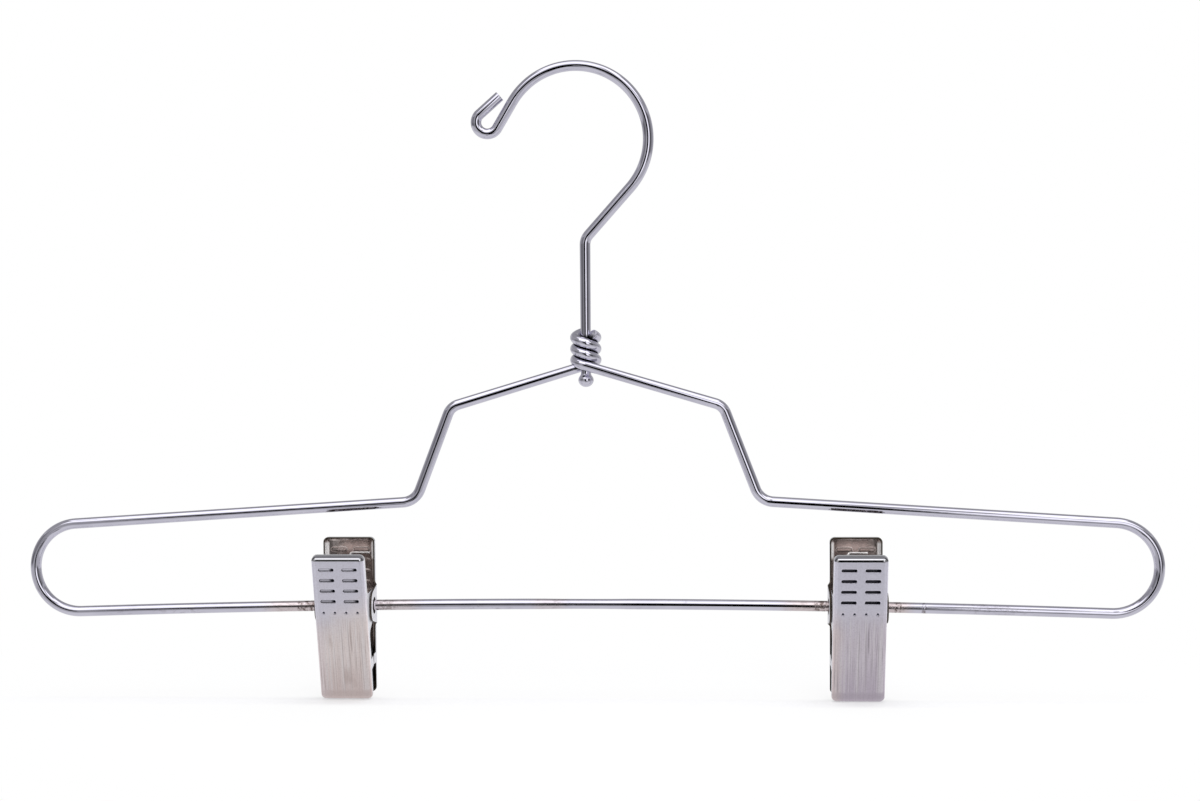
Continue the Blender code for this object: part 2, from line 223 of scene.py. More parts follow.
class Surface:
    # one material, or the world, and its nodes
    def __init__(self, name, owner=None):
        self.owner = owner or bpy.data.materials.new(name)
        self.owner.use_nodes = True
        self.tree = self.owner.node_tree
        self.tree.nodes.clear()

    def node(self, kind, settings=None, values=None, output=0):
        made = self.tree.nodes.new(kind)
        for key, value in (settings or {}).items():
            setattr(made, key, value)
        for key, value in (values or {}).items():
            socket = made.inputs[key]
            if isinstance(value, Value):
                self.tree.links.new(value.socket, socket)
            elif socket.type == "RGBA":
                socket.default_value = (*value, 1.0)
            else:
                socket.default_value = value
        return Value(self, made.outputs[output]) if made.outputs else None

    def place(self, kind="Object"):
        return self.node("ShaderNodeTexCoord", output=kind)

    def axes(self, vector):
        return [self.node("ShaderNodeSeparateXYZ", {}, {0: vector}, axis) for axis in range(3)]

    def point(self, name):
        # a value that the mesh holds at its points
        return self.node("ShaderNodeAttribute", {"attribute_name": name}, {}, "Fac")

    def step(self, value, low, high):
        # 0 at low and 1 at high, eased at both; low may be the greater one
        settings = {"interpolation_type": "SMOOTHSTEP"}
        return self.node("ShaderNodeMapRange", settings, {0: value, 1: low, 2: high, 3: 0.0, 4: 1.0})

    def band(self, value, low, high, soft):
        return self.step(value, low - soft, low + soft) * (1.0 - self.step(value, high - soft, high + soft))

    def mix(self, share, a, b):
        return self.node("ShaderNodeMix", {"data_type": "RGBA"}, {0: share, 6: a, 7: b}, 2)

    def tinted(self, colour, *layers):
        # lays each layer's tint over the colour, by its share
        for share, tint in layers:
            colour = self.mix(share, colour, tint)
        return colour

    def noise(self, place, scale, detail=2.0, roughness=0.5):
        values = {"Vector": place, "Scale": scale, "Detail": detail, "Roughness": roughness}
        return self.node("ShaderNodeTexNoise", {}, values)

    def drawnNoise(self, place, stretch, scale, detail, roughness):
        # a noise that is drawn out where stretch is small
        stretched = self.node("ShaderNodeMapping", {}, {"Vector": place, "Scale": stretch})
        return self.noise(stretched, scale, detail, roughness)

    def bump(self, height, distance):
        return self.node("ShaderNodeBump", {}, {"Strength": 1.0, "Distance": distance, "Height": height})

    def finish(self, colour, rough, metal, normal):
        values = {"Base Color": colour, "Roughness": rough, "Metallic": metal, "Normal": normal}
        shader = self.node("ShaderNodeBsdfPrincipled", {}, values)
        self.node("ShaderNodeOutputMaterial", {}, {"Surface": shader})
        return self.owner


# Chrome plated wire
chromeLook = dict(
    plate=(0.74, 0.725, 0.83),
    deep=(0.67, 0.655, 0.76),
    rubbed=(0.74, 0.62, 0.59),
    scuff=(0.13, 0.09, 0.075),
    shade=(0.035, 0.035, 0.042),
    smooth=0.022,
    worn=0.26,
    relief=0.06 * mm,
    cloud=(70.0, 3.0),
    # drawn noises: stretch along and round the wire, scale, detail and roughness
    grain=((60.0, 14.0, 1.0), 8.0, 4.0, 0.6),
    streak=((40.0, 9.0, 1.0), 1.0, 4.0, 0.65),
    patches=((34.0, 1.4, 1.0), 1.0, 3.0, 0.6),
    flecks=((330.0, 9.0, 1.0), 1.0, 4.0, 0.7),
    specks=((700.0, 8.0, 1.0), 1.0, 3.0, 0.7),
    # rubbed tint and dark scuffs on the bar: place, reach and strength of each, in mm
    rubs=((-112, 11, 0.65), (-74.5, 9, 0.5), (-14.5, 6, 0.35), (85, 10, 0.7), (115, 6.5, 0.7)),
    rubSoft=0.45,
    scuffs=(
        (-106.5, 3, 1.0),
        (-110.4, 1, 0.8),
        (-77, 3.5, 0.5),
        (88.5, 3, 0.9),
        (117, 1.2, 0.9),
        (126.8, 0.7, 0.7),
    ),
    scuffSoft=0.35,
    ragged=2.4 * mm,
    # soft edges, from none to full: heights of the bar and of the shade in the neck, and the
    # shade's distance from the stem's middle
    bar=(-192 * mm, -196 * mm),
    neckLow=(-113.0 * mm, -111.5 * mm),
    neckHigh=(-98.5 * mm, -100.0 * mm),
    neckReach=(4.95 * mm, 4.4 * mm),
)


def chromeSurface():
    s = Surface("chrome_wire")
    look = chromeLook
    place = s.place()
    along = s.node("ShaderNodeUVMap", {"uv_map": "along"})
    across, depth, up = s.axes(place)
    cloud = s.noise(place, *look["cloud"])
    grain = s.drawnNoise(along, *look["grain"])
    streak = s.drawnNoise(along, *look["streak"])
    low = s.step(up, *look["bar"])

    def beside(spots, soft):
        # 1 near the given places along the bar, with a ragged edge
        mask = 0.0
        for centre, reach, strength in spots:
            off = (across - centre * mm + look["ragged"] * (streak - 0.5)).size()
            near = s.step(off, reach * (1 + soft) * mm, reach * (1 - soft) * mm)
            mask = (near * strength).most(mask)
        return mask * low

    # wear from the clips' sliding: brown rubbed places beside the clips, and flecks elsewhere
    rubbed = beside(look["rubs"], look["rubSoft"])
    scuffed = beside(look["scuffs"], look["scuffSoft"])
    patches = s.step(s.drawnNoise(along, *look["patches"]), 0.50, 0.66)
    flecks = s.step(s.drawnNoise(along, *look["flecks"]), 0.47, 0.66)
    specks = s.step(s.drawnNoise(along, *look["specks"]), 0.40, 0.60)
    worn = (low * patches * flecks * 0.5).most(scuffed * specks).most(rubbed * flecks * 0.5)
    # shade between the neck's turns and on the stem behind them
    shade = s.step(up, *look["neckLow"]) * s.step(up, *look["neckHigh"])
    shade = shade * s.step((across * across + depth * depth).root(), *look["neckReach"])
    colour = s.mix(s.step(cloud, 0.3, 0.7), look["deep"], look["plate"])
    colour = s.tinted(colour, (rubbed, look["rubbed"]), (worn, look["scuff"]), (shade, look["shade"]))
    rough = look["smooth"] + 0.03 * s.step(grain, 0.5, 0.8) + worn * look["worn"]
    rough = rough + rubbed * 0.10 * s.step(streak, 0.3, 0.7) + shade * 0.2
    height = cloud * 0.4 + grain * 0.04 - worn * 0.3 + rubbed * streak * 0.3
    return s.finish(colour, rough, 1.0, s.bump(height, look["relief"]))


chromeWire = chromeSurface()

# Frame wire: one wire, down round the stem, along the right side and the bar, up the left side
frameShape = dict(
    wire=3.8 * mm,
    width=432.0 * mm,
    barDepth=201.47 * mm,
    barRise=6020.0 * mm,
    armHeight=158.1 * mm,
    armSlope=0.063,
    waistLine=70.1 * mm,
    steepDepth=174.0 * mm,
    steepSlope=0.384,
    shoulderSlope=0.3,
    endBend=17.0 * mm,
    waistBend=7.6 * mm,
    shoulderBend=6.0 * mm,
    coilDepth=110.6 * mm,
    coilRadius=4.0 * mm,
    coilLead=8.5 * mm,
    frontTurns=1.5,
    backTurns=1.38,
    # the drawn wire is this much more in radius from a place beside the neck on
    fuller=0.12 * mm,
    fullerFrom=7 * mm,
    fullerRun=12 * mm,
    rim=0.25 * mm,
    sides=28,
    turnSteps=72,
    barSteps=60,
)


def barLevel(x):
    # a shallow arc that is lowest at its ends
    r = frameShape["barRise"]
    return -frameShape["barDepth"] - (r - np.sqrt(r * r - np.square(x)))


def neckWinding(front, turns):
    # a climbing circle: (r cos a, r sin a, lead a / 2 pi), clockwise seen from above
    f = frameShape
    turn = np.linspace(0, turns, round(turns * f["turnSteps"]) + 1)[1:]
    a = front * pi / 2 - 2 * pi * turn
    z = -f["coilDepth"] + f["coilLead"] * turn
    return np.stack([f["coilRadius"] * np.cos(a), f["coilRadius"] * np.sin(a), z], 1)


def sideRun(front):
    # straight runs and bends from the neck to the bar, in the X-Z plane but for the neck's end
    f = frameShape
    sideX = f["width"] / 2 - f["wire"] / 2

    def steepCorner(depth, slope):
        # where the steep run meets the run that starts at this depth and falls by this slope
        steep = f["steepSlope"]
        x = (f["waistLine"] - steep * (f["steepDepth"] - depth)) / (1 - steep * slope)
        return x, 0, -depth - slope * x

    edge = sideX - f["endBend"]
    barSlope = edge / sqrt(f["barRise"] ** 2 - edge**2)
    corners = [
        (0, front * f["coilRadius"], -f["coilDepth"]),
        steepCorner(f["coilDepth"], f["shoulderSlope"]),
        steepCorner(f["armHeight"], f["armSlope"]),
        (sideX, 0, -f["armHeight"] - f["armSlope"] * sideX),
        (sideX, 0, barLevel(edge) - barSlope * f["endBend"]),
        (edge, 0, barLevel(edge)),
    ]
    radii = [0, f["shoulderBend"], f["waistBend"], f["endBend"], f["endBend"], 0]
    return rounded(corners, radii, [0, 16, 16, 30, 30, 0])[:-1], edge


def makeFrame():
    f = frameShape
    rightRun, edge = sideRun(-1)
    leftRun = sideRun(1)[0] * (-1, 1, 1)
    x = np.linspace(edge, -edge, f["barSteps"])[1:-1]
    bar = np.stack([x, 0 * x, barLevel(x)], 1)
    rightCoil, leftCoil = neckWinding(-1, f["frontTurns"]), neckWinding(1, f["backTurns"])
    path = np.concatenate([rightCoil[::-1], rightRun, bar, leftRun[::-1], leftCoil])
    fuller = f["fuller"] * smooth((np.abs(path[:, 0]) - f["fullerFrom"]) / f["fullerRun"])
    return drawnWire("frameWire", path, f["wire"] / 2 + fuller, f["sides"], f["rim"], f["rim"])


addPiece("frameWire", makeFrame(), chromeWire, "frame_wire", "frame")
print("stage: frame wire")

# Hook: from the headed ball at the stem's foot, up, over the rail and into the curl
hookShape = dict(
    wire=3.8 * mm,
    radius=27.6 * mm,
    offset=3.5 * mm,
    lean=radians(41.8),
    shankBend=5.5 * mm,
    curlRadius=4.3 * mm,
    curlDrop=18.7 * mm,
    curlOut=36.6 * mm,
    tipLean=radians(49.0),
    tipLength=10.7 * mm,
    ballDepth=116.2 * mm,
    ballRadius=2.9 * mm,
    ballFlat=0.9,
    ballStart=radians(8),
    ballStop=radians(118),
    neckFillet=1.6 * mm,
    filletPower=2.2,
    fullerBelow=34 * mm,
    footRim=0.02 * mm,
    tipRim=0.25 * mm,
    sides=28,
)


def arc(centre, radius, first, last, steps):
    a = np.linspace(first, last, steps + 1)
    return np.stack([centre[0] + radius * np.cos(a), 0 * a, centre[1] + radius * np.sin(a)], 1)


def makeHook():
    h = hookShape
    half = h["wire"] / 2
    centre = (-h["offset"], -sqrt((h["radius"] - half) ** 2 - h["offset"] ** 2))
    curl = (-h["curlOut"], -h["curlDrop"])
    lean = np.array([sin(h["lean"]), 0, cos(h["lean"])])
    leanFoot = arc(centre, h["radius"], -h["lean"], 0, 1)[0]
    shankLow = leanFoot - lean * leanFoot[0] / lean[0]
    apart = (curl[0] - centre[0], curl[1] - centre[1])
    arcEnd = atan2(apart[1], apart[0]) - acos((h["radius"] + h["curlRadius"]) / hypot(*apart))
    over = arc(centre, h["radius"], -h["lean"], arcEnd, 110)
    into = arc(curl, h["curlRadius"], arcEnd + pi, h["tipLean"] + pi / 2, 44)[1:]
    tip = into[-1] + np.array([sin(h["tipLean"]), 0, cos(h["tipLean"])]) * h["tipLength"]
    # the ball: a flattened sphere that runs into the stem with a hollow fillet
    a = np.linspace(h["ballStart"], h["ballStop"], 24)
    ballZ = -h["ballDepth"] - h["ballRadius"] * h["ballFlat"] * np.cos(a)
    ballR = h["ballRadius"] * np.sin(a)
    t = np.linspace(0, 1, 9)[1:]
    z = np.concatenate([ballZ, ballZ[-1] + h["neckFillet"] * t])
    footR = np.concatenate([ballR, half + (ballR[-1] - half) * (1 - t) ** h["filletPower"]])
    foot = np.stack([0 * z, 0 * z, z], 1)
    shank = rounded([foot[-1], shankLow, over[0]], [0, h["shankBend"], 0], [0, 18, 0])[1:-1]
    path = np.concatenate([foot, shank, over, into, tip[None]])
    aboveNeck = path[len(foot) :, 2] - shankLow[2] + h["fullerBelow"]
    fuller = frameShape["fuller"] * smooth(aboveNeck / frameShape["fullerRun"])
    radii = np.concatenate([footR, half + fuller])
    return drawnWire("hookWire", path, radii, h["sides"], h["footRim"], h["tipRim"])


addPiece("hookWire", makeHook(), chromeWire, "hook", "hook")
print("stage: hook")

# Stamped plates: x across, v inwards from the outer face, z up, the bar's centre line at z 0
plateShape = dict(
    half=10.0 * mm,
    backTop=25.4 * mm,
    frontTop=24.0 * mm,
    tip=34.9 * mm,
    stand=10.4 * mm,
    tilt=radians(15.0),
    sheet=0.6 * mm,
    bend=1.7 * mm,
    jawCorner=1.95 * mm,
    handleCorner=1.95 * mm,
    handleWall=3.3 * mm,
    jawWall=2.9 * mm,
    tipWall=2.5 * mm,
    earReach=5.8 * mm,
    earHalf=4.9 * mm,
    earCorner=4.7 * mm,
    earTop=7.6 * mm,
    earLow=7.9 * mm,
    earFillet=2.5 * mm,
    earHole=3.2 * mm,
    # the step of the wide ears: its size, where it starts, its run, and its soft lower end
    flare=1.0 * mm,
    flareFrom=3.2 * mm,
    flareRun=1.9 * mm,
    flareLow=15 * mm,
    flareFade=3 * mm,
    tabTop=19.4 * mm,
    tabHeight=4.0 * mm,
    tabReach=7.0 * mm,
    tabCorner=0.5 * mm,
    rows=4,
    firstRow=5.0 * mm,
    rowPitch=4.28 * mm,
    column=4.4 * mm,
    grooveLength=5.7 * mm,
    grooveWidth=1.1 * mm,
    grooveDepth=0.42 * mm,
    grooveSoft=0.3 * mm,
    grooveRim=0.12 * mm,
    dimples=4,
    dimpleRow=22.5 * mm,
    dimplePitch=4.3 * mm,
    dimpleLength=1.2 * mm,
    dimpleWidth=1.2 * mm,
    dimpleDepth=0.32 * mm,
    dimpleSoft=0.5 * mm,
    dimpleRim=0.1 * mm,
    # how much wider a pressed form is on the inside of the sheet
    pressedGrow=0.25 * mm,
)


def spread(stops, steps):
    # lines at the given places, with a given number of even steps between each two
    parts = [np.linspace(a, b, n, endpoint=False) for a, b, n in zip(stops[:-1], stops[1:], steps)]
    return np.concatenate(parts + [[stops[-1]]])


def roundedPatch(half, low, high, lowCorner, highCorner, xs, zs):
    # a grid over a rectangle with rounded corners: each edge carries half of the arcs at its
    # ends, and the inside is the sum of the two ruled surfaces less the bilinear one. Gives the
    # grid, its rim and the rim's outward directions. A row holds a place, then its direction.
    arcSteps = 5

    def corner(x, z, r, first, last):
        a = np.radians(np.linspace(first, last, arcSteps + 1))
        way = np.stack([np.cos(a), np.sin(a)], 1)
        return np.concatenate([(x, z) + r * way, way], 1)

    def edge(first, middle, way, last):
        straight = np.concatenate([middle, 0 * middle + way], 1)
        return np.concatenate([first[:-1], straight, last[1:]])

    lx, hx = half - lowCorner, half - highCorner
    lz, hz = low + lowCorner, high - highCorner
    across = (xs - xs[0]) / (xs[-1] - xs[0])
    upward = (zs - zs[0]) / (zs[-1] - zs[0])
    bottom = np.stack([-lx + 2 * lx * across, low + 0 * across], 1)
    top = np.stack([-hx + 2 * hx * across, high + 0 * across], 1)
    left = np.stack([-half + 0 * upward, lz + (hz - lz) * upward], 1)
    right = left * (-1, 1)
    bottom = edge(corner(-lx, lz, lowCorner, 225, 270), bottom, (0, -1), corner(lx, lz, lowCorner, 270, 315))
    top = edge(corner(-hx, hz, highCorner, 135, 90), top, (0, 1), corner(hx, hz, highCorner, 90, 45))
    left = edge(corner(-lx, lz, lowCorner, 225, 180), left, (-1, 0), corner(-hx, hz, highCorner, 180, 135))
    right = edge(corner(lx, lz, lowCorner, -45, 0), right, (1, 0), corner(hx, hz, highCorner, 0, 45))
    s = ((bottom[:, 0] - bottom[0, 0]) / (bottom[-1, 0] - bottom[0, 0]))[None, :, None]
    t = ((right[:, 1] - right[0, 1]) / (right[-1, 1] - right[0, 1]))[:, None, None]
    ruled = (1 - t) * bottom + t * top + (1 - s) * left[:, None] + s * right[:, None]
    flat = (1 - t) * ((1 - s) * bottom[0] + s * bottom[-1]) + t * ((1 - s) * top[0] + s * top[-1])
    rim = np.concatenate([bottom[:-1], right[:-1], top[:0:-1], left[:0:-1]])
    return (ruled - flat)[..., :2], rim[:, :2], rim[:, 2:]


def joinPatches(patches, marks):
    # welds patches (points, inward directions, faces) whose edges meet point for point
    weld = 0.002 * mm
    points = np.concatenate([patch[0] for patch in patches])
    inward = np.concatenate([patch[1] for patch in patches])
    shift = np.cumsum([0] + [len(patch[0]) for patch in patches])
    faces = np.concatenate([patch[2] + start for patch, start in zip(patches, shift)])
    _, first, back = np.unique(np.round(points / weld), axis=0, return_index=True, return_inverse=True)
    return points[first], inward[first], back.ravel()[faces], marks[first]


def thicken(points, inner, faces):
    # closes a sheet: outer skin, inner skin, and a rim that bulges as half an oval between them
    shares = (0.08, 0.3, 0.7, 0.92)
    fullness = 0.22
    n = len(points)
    edges = np.stack([faces, np.roll(faces, -1, 1)], -1).reshape(-1, 2)
    owner = np.repeat(np.arange(len(faces)), 4)
    _, back, count = np.unique(np.sort(edges, 1), axis=0, return_inverse=True, return_counts=True)
    free = count[back.ravel()] == 1
    rim, owner = edges[free], owner[free]
    a, b = points[rim[:, 0]], points[rim[:, 1]]
    away = (a + b) / 2 - points[faces[owner]].mean(1)
    line = unit(b - a)
    away = unit(away - (away * line).sum(1, keepdims=True) * line)
    out = np.zeros_like(points)
    np.add.at(out, rim[:, 0], away)
    np.add.at(out, rim[:, 1], away)
    used = np.unique(rim)
    out[used] = unit(out[used])
    depth = np.linalg.norm(inner - points, axis=1, keepdims=True)
    layers = []
    for share in shares:
        bulge = sqrt(1 - (2 * share - 1) ** 2) * fullness
        layers.append((points + (inner - points) * share + out * depth * bulge)[used])
    number = np.full(n, -1)
    number[used] = np.arange(len(used))
    rims = [rim] + [2 * n + k * len(used) + number[rim] for k in range(len(shares))] + [rim + n]
    walls = [np.stack([p[:, 1], p[:, 0], q[:, 0], q[:, 1]], 1) for p, q in zip(rims[:-1], rims[1:])]
    # which point each one comes from, and how deep in the sheet it lies: 0 outside, 1 inside
    source = np.concatenate([np.arange(n), np.arange(n), np.tile(used, len(shares))])
    deep = np.repeat([0.0, 1.0, 0.5], [n, n, len(shares) * len(used)])
    skins = [faces, faces[:, ::-1] + n]
    return np.concatenate([points, inner, *layers]), np.concatenate(skins + walls), source, deep


def pressed(x, z, grow, edge):
    # depth of the pressed grooves and dimples: a smooth step down at each outline's edge
    p = plateShape
    rows = [p["firstRow"] + row * p["rowPitch"] for row in range(p["rows"])]
    grooves = [(column, row) for row in rows for column in (-p["column"], p["column"])]
    middle = (p["dimples"] - 1) / 2
    dimples = [((k - middle) * p["dimplePitch"], p["dimpleRow"]) for k in range(p["dimples"])]
    depth = np.zeros_like(x)
    for kind, places in (("groove", grooves), ("dimple", dimples)):
        reach = (p[kind + "Length"] - p[kind + "Width"]) / 2
        border = p[kind + "Width"] / 2 + grow + p[kind + "Rim"]
        for across, below in places:
            d = np.hypot(np.maximum(np.abs(x - across) - reach, 0), z - edge + below)
            depth = np.maximum(depth, p[kind + "Depth"] * smooth((border - d) / p[kind + "Soft"]))
    return depth


def flared(v, z, wide):
    # wide ears step out by a smooth S, to pass outside the narrow ones: the step and its slope
    p = plateShape
    t = np.clip((v - p["flareFrom"]) / p["flareRun"], 0, 1)
    near = wide * smooth((z + p["flareLow"]) / p["flareFade"])
    return p["flare"] * smooth(t) * near, p["flare"] * 6 * t * (1 - t) / p["flareRun"] * near


def wallOutline(high):
    # the wall's rim seen from the side, as (v, z): upper wall, ear, lower wall. Gives the whole
    # chain and the middles of its two fillets, between which it belongs to the ear.
    p = plateShape
    filletSteps, cornerSteps = 12, 24
    end = p["stand"] + p["earReach"]
    corners = [
        (p["handleWall"], high - p["bend"]),
        (p["handleWall"], p["earTop"]),
        (end, p["earHalf"]),
        (end, -p["earHalf"]),
        (p["handleWall"], -p["earLow"]),
        (p["handleWall"], -p["tabTop"]),
    ]
    radii = [0, p["earFillet"], p["earCorner"], p["earCorner"], p["earFillet"], 0]
    chain = rounded(corners, radii, [0, filletSteps, cornerSteps, cornerSteps, filletSteps, 0])
    return chain, 1 + filletSteps // 2, len(chain) - 2 - filletSteps // 2


def rolledWall(rim, normal, rimV, wide):
    # rolled edge: p + n r sin b at depth r (1 - cos b), then the wall straight down to its rim
    r = plateShape["bend"]
    b = np.radians(np.linspace(0, 90, 9))[:, None]
    w = np.linspace(0, 1, 6)[1:, None]
    level = 0 * rimV
    reach = np.concatenate([r * np.sin(b) + level, r + 0 * w + level])
    v = np.concatenate([r * (1 - np.cos(b)) + level, r + (rimV - r) * w])
    lean = np.concatenate([np.sin(b) + level, 1 + 0 * w + level])
    extra, slope = flared(v, rim[:, 1] + normal[:, 1] * reach, wide)
    reach = reach + extra
    outer = np.stack([rim[:, 0] + normal[:, 0] * reach, v, rim[:, 1] + normal[:, 1] * reach], -1)
    rise = np.where(lean < 1, np.sqrt(np.clip(1 - lean**2, 0, 1)), slope)
    inward = unit(np.stack([-normal[:, 0] * lean, rise, -normal[:, 1] * lean], -1)) * plateShape["sheet"]
    return outer, inward


def earPatch(way, outline, base, wide):
    # lines from the ear's outline and its foot to the hole's circle
    p = plateShape
    rings = 16
    loop = np.concatenate([outline, base[np.argsort(base[:, 1])]])
    centre = np.array([p["stand"], 0])
    circle = centre + unit(loop - centre) * p["earHole"]
    t = (np.linspace(0, 1, rings) ** 0.85)[:, None, None]  # closer at the hole
    ring = loop[None] + (circle - loop)[None] * t
    v, z = ring[..., 0].ravel(), ring[..., 1].ravel()
    extra, slope = flared(v, z, wide)
    outer = np.stack([way * (p["half"] + extra), v, z], 1)
    inward = unit(np.stack([-way + 0 * v, slope, 0 * v], 1)) * p["sheet"]
    return outer, inward, gridFaces(rings, len(loop), True)


def tabPatch(way, base):
    # a tab over the pad's end: straight sides, then a quarter round at each corner
    p = plateShape
    c, half = p["tabCorner"], p["tabHeight"] / 2
    base = base[np.argsort(base[:, 2])]
    a = np.radians(np.linspace(0, 90, 7))
    straight = np.linspace(0, 1, 8)[:-1]
    level = np.concatenate([straight, 1 + 0 * a])[:, None]
    lift = np.concatenate([0 * straight, c * np.sin(a)])[:, None]
    draw = np.concatenate([0 * straight, c * (1 - np.cos(a))])[:, None]
    v = base[None, :, 1] * (1 - level) + (p["tabReach"] - c) * level + lift
    middle = -p["tabTop"] - half
    z = middle + (base[None, :, 2] - middle) * (1 - draw / half)
    outer = np.stack([way * p["half"] + 0 * v, v, z], -1).reshape(-1, 3)
    inward = np.repeat([[-way * p["sheet"], 0, 0]], len(outer), 0)
    return outer, inward, gridFaces(len(level), len(base))


def placed(points, side, pivot, tilt):
    # from (across, inwards, up) of a plate to the frame: Y is side (stand - v), then turned by
    # tilt about the bar and moved to the clip's place
    x, y, z = points[:, 0], side * (plateShape["stand"] - points[:, 1]), points[:, 2]
    c, s = cos(tilt), sin(tilt)
    return np.stack([x + pivot[0], y * c - z * s + pivot[1], y * s + z * c + pivot[2]], 1)


def makePlate(name, side, pivot, tilt, high, wide):
    # a face with its wall all round, two ears and two tabs; high is the handle's edge above the bar
    p = plateShape
    r, touch = p["bend"], 1e-7
    half, top, tip, tabLow = p["half"] - r, high - r, -p["tip"] + r, -p["tabTop"] - p["tabHeight"]
    chain, first, last = wallOutline(high)
    earHigh, earBase = chain[first, 1], chain[last, 1]
    rimZ = np.concatenate([chain[: first + 1, 1], chain[last:, 1], [tabLow, tip]])
    rimV = np.concatenate([chain[: first + 1, 0], chain[last:, 0], [p["jawWall"], p["tipWall"]]])
    # face, with lines where the wall's rim turns
    lowCorner, highCorner = p["jawCorner"] - r, p["handleCorner"] - r
    grooves, dimple = high - p["firstRow"], high - p["dimpleRow"]
    lastRow = grooves - (p["rows"] - 1) * p["rowPitch"]
    stops = [tip + lowCorner, tabLow, -p["tabTop"], chain[-2, 1], earBase, dimple - mm, dimple + mm]
    stops += [lastRow - mm, earHigh, chain[1, 1], grooves + mm, top - highCorner]
    zs = spread(stops, [12, 8, 10, 6, 20, 14, 8, 16, 11, 74, 6])
    xs = np.linspace(-half + lowCorner, half - lowCorner, 97)
    face, rim, normal = roundedPatch(half, tip, top, lowCorner, highCorner, xs, zs)
    fx, fz = face[..., 0].ravel(), face[..., 1].ravel()
    dip = pressed(fx, fz, 0, high)
    outer = np.stack([fx, dip, fz], 1)
    inner = np.stack([fx, p["sheet"] + pressed(fx, fz, p["pressedGrow"], high), fz], 1)
    patches = [(outer, inner - outer, gridFaces(*face.shape[:2]))]
    outer, inward = rolledWall(rim, normal, np.interp(rim[:, 1], rimZ[::-1], rimV[::-1]), wide)
    patches.append((outer.reshape(-1, 3), inward.reshape(-1, 3), gridFaces(len(outer), len(rim), True)))
    edge = outer[-1]
    outline = chain[first : last + 1]
    far = distances(outline)
    at = np.linspace(0, far[-1], 130)
    outline = np.stack([np.interp(at, far, outline[:, k]) for k in (0, 1)], 1)
    for way in (-1, 1):
        wall = edge[normal[:, 0] * way > 0.999]
        foot = wall[(wall[:, 2] < earHigh - touch) & (wall[:, 2] > earBase + touch)]
        patches.append(earPatch(way, outline, foot[:, 1:], wide))
        foot = wall[(wall[:, 2] < -p["tabTop"] + touch) & (wall[:, 2] > tabLow - touch)]
        patches.append(tabPatch(way, foot))
    marks = np.zeros((sum(len(patch[0]) for patch in patches), 2))
    marks[: len(fx), 0] = 1
    marks[: len(fx), 1] = dip / p["grooveDepth"]
    points, inward, faces, marks = joinPatches(patches, marks)
    points, faces, source, deep = thicken(points, points + inward, faces)
    marks = {"flatFace": marks[source, 0] * (deep == 0), "pressed": marks[source, 1], "layer": deep}
    return finishMesh(name, placed(points, side, pivot, tilt), [faces], marks=marks)


# Grip pads: a wedge of black rubber with ribs across its gripping face
padShape = dict(
    half=8.9 * mm,
    top=17.6 * mm,
    bottom=33.5 * mm,
    base=1.1 * mm,
    round=0.45 * mm,
    lowCorner=2.2 * mm,
    highCorner=1.1 * mm,
    ribs=6,
    groove=0.8 * mm,
    grooveSpread=0.62,
    gap=0.25 * mm,
)


def makePad(name, side, pivot, tilt):
    p = padShape
    e = p["round"]
    low, high, lowCorner, highCorner = -p["bottom"], -p["top"], p["lowCorner"], p["highCorner"]
    zs = np.linspace(low + lowCorner, high - highCorner, 110)
    xs = np.linspace(-p["half"] + lowCorner, p["half"] - lowCorner, 40)
    size = (p["half"] - e, low + e, high - e, lowCorner - e, highCorner - e)
    face, rim, normal = roundedPatch(*size, xs, zs)
    back = roundedPatch(p["half"], low, high, lowCorner, highCorner, xs, zs)[0]
    pitch = (high - low) / p["ribs"]

    def grip(z):
        # half way to the other pad, less a rounded V at each groove
        level = plateShape["stand"] + z * tan(plateShape["tilt"] / 2) - p["gap"] / 2
        off = np.abs((z - low) / pitch - np.round((z - low) / pitch)) * pitch
        ribbed = (z > low + pitch / 2) & (z < high - pitch / 2)
        return level - ribbed * p["groove"] * smooth(1 - off / (p["grooveSpread"] * p["groove"]))

    def patch(grid, v, faces):
        points = np.stack([grid[..., 0], v, grid[..., 1]], -1).reshape(-1, 3)
        return points, points, faces

    # wall: a quarter round from the grip's rim, then straight down to the base
    b = np.radians(np.linspace(0, 90, 7))[:, None]
    w = np.linspace(0, 1, 9)[1:, None]
    edgeV = grip(rim[:, 1])[None]
    v = np.concatenate([edgeV - e * (1 - np.cos(b)), edgeV - e + (p["base"] - edgeV + e) * w])
    reach = np.concatenate([e * np.sin(b), e + 0 * w])
    wall = rim[None] + normal[None] * reach[..., None]
    patches = [
        patch(face, grip(face[..., 1]), gridFaces(*face.shape[:2])),
        patch(wall, v, gridFaces(len(v), len(rim), True)),
        patch(back, p["base"] + 0 * back[..., 0], gridFaces(*back.shape[:2])),
    ]
    points, _, faces, _ = joinPatches(patches, np.zeros((sum(len(part[0]) for part in patches), 1)))
    return finishMesh(name, placed(points, side, pivot, tilt), [faces])


# Clip springs: a coil round the bar, with an arm to each handle and a leg across it
springShape = dict(
    wire=1.1 * mm,
    radius=3.3 * mm,
    turns=4,
    pitch=1.6 * mm,
    left=-3.1 * mm,
    leg=7.7 * mm,
    legHeight=19.2 * mm,
    legBend=1.2 * mm,
    stand=8.75 * mm,
    rim=0.12 * mm,
    sides=16,
    coilSteps=190,
)


